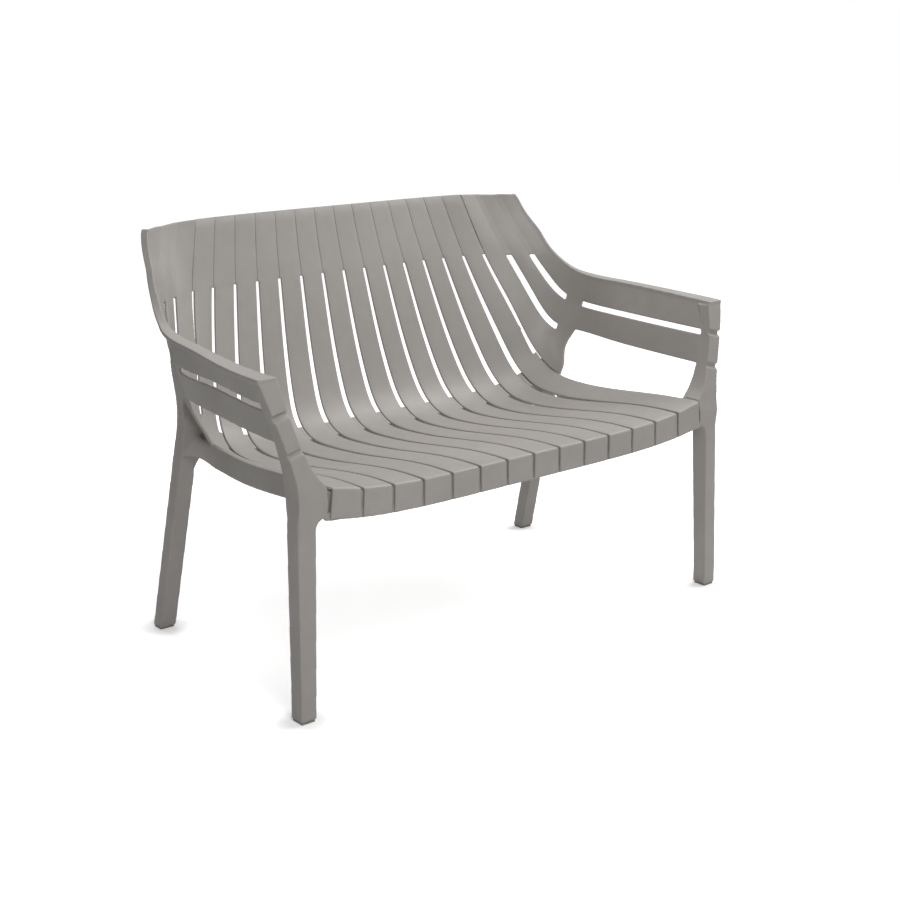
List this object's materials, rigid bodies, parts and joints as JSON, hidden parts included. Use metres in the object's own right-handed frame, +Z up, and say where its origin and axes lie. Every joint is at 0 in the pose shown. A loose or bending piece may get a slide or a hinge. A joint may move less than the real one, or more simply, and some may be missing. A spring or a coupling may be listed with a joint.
{
  "type": "outdoor sofa",
  "caption": "Moulded resin outdoor sofa with curved slats running from the seat front to the top of the back, open slotted arms and tapered splayed legs on foot glides.",
  "frame": {"origin": "on the floor, in the middle of the sofa's width and depth", "axes": "+X to the right of someone who faces the sofa, +Y towards its back, +Z up"},
  "size_m": [1.1824, 0.6449, 0.816],
  "materials": {
    "slat_resin": "fine satin texture",
    "arm_resin": "fine satin texture",
    "leg_resin": "fine satin texture",
    "rail_resin": "plain moulded, unpolished",
    "glide_rubber": "dull"
  },
  "bodies": {
    "root": {"slat_1_right": "slat_resin", "slat_1_left": "slat_resin", "slat_2_right": "slat_resin", "slat_2_left": "slat_resin", "slat_3_right": "slat_resin", "slat_3_left": "slat_resin", "slat_4_right": "slat_resin", "slat_4_left": "slat_resin", "slat_5_right": "slat_resin", "slat_5_left": "slat_resin", "slat_6_right": "slat_resin", "slat_6_left": "slat_resin", "slat_7_right": "slat_resin", "slat_7_left": "slat_resin", "arm_rim_right": "arm_resin", "arm_rim_left": "arm_resin", "arm_panel_right": "arm_resin", "arm_panel_left": "arm_resin", "front_leg_right": "leg_resin", "front_leg_left": "leg_resin", "rear_leg_right": "leg_resin", "rear_leg_left": "leg_resin", "side_rail_right": "rail_resin", "side_rail_left": "rail_resin", "front_rail": "rail_resin", "seat_rail": "rail_resin", "lumbar_rail": "rail_resin", "band_rail": "rail_resin", "front_glide_right": "glide_rubber", "front_glide_left": "glide_rubber", "rear_glide_right": "glide_rubber", "rear_glide_left": "glide_rubber"}
  },
  "joints": []
}
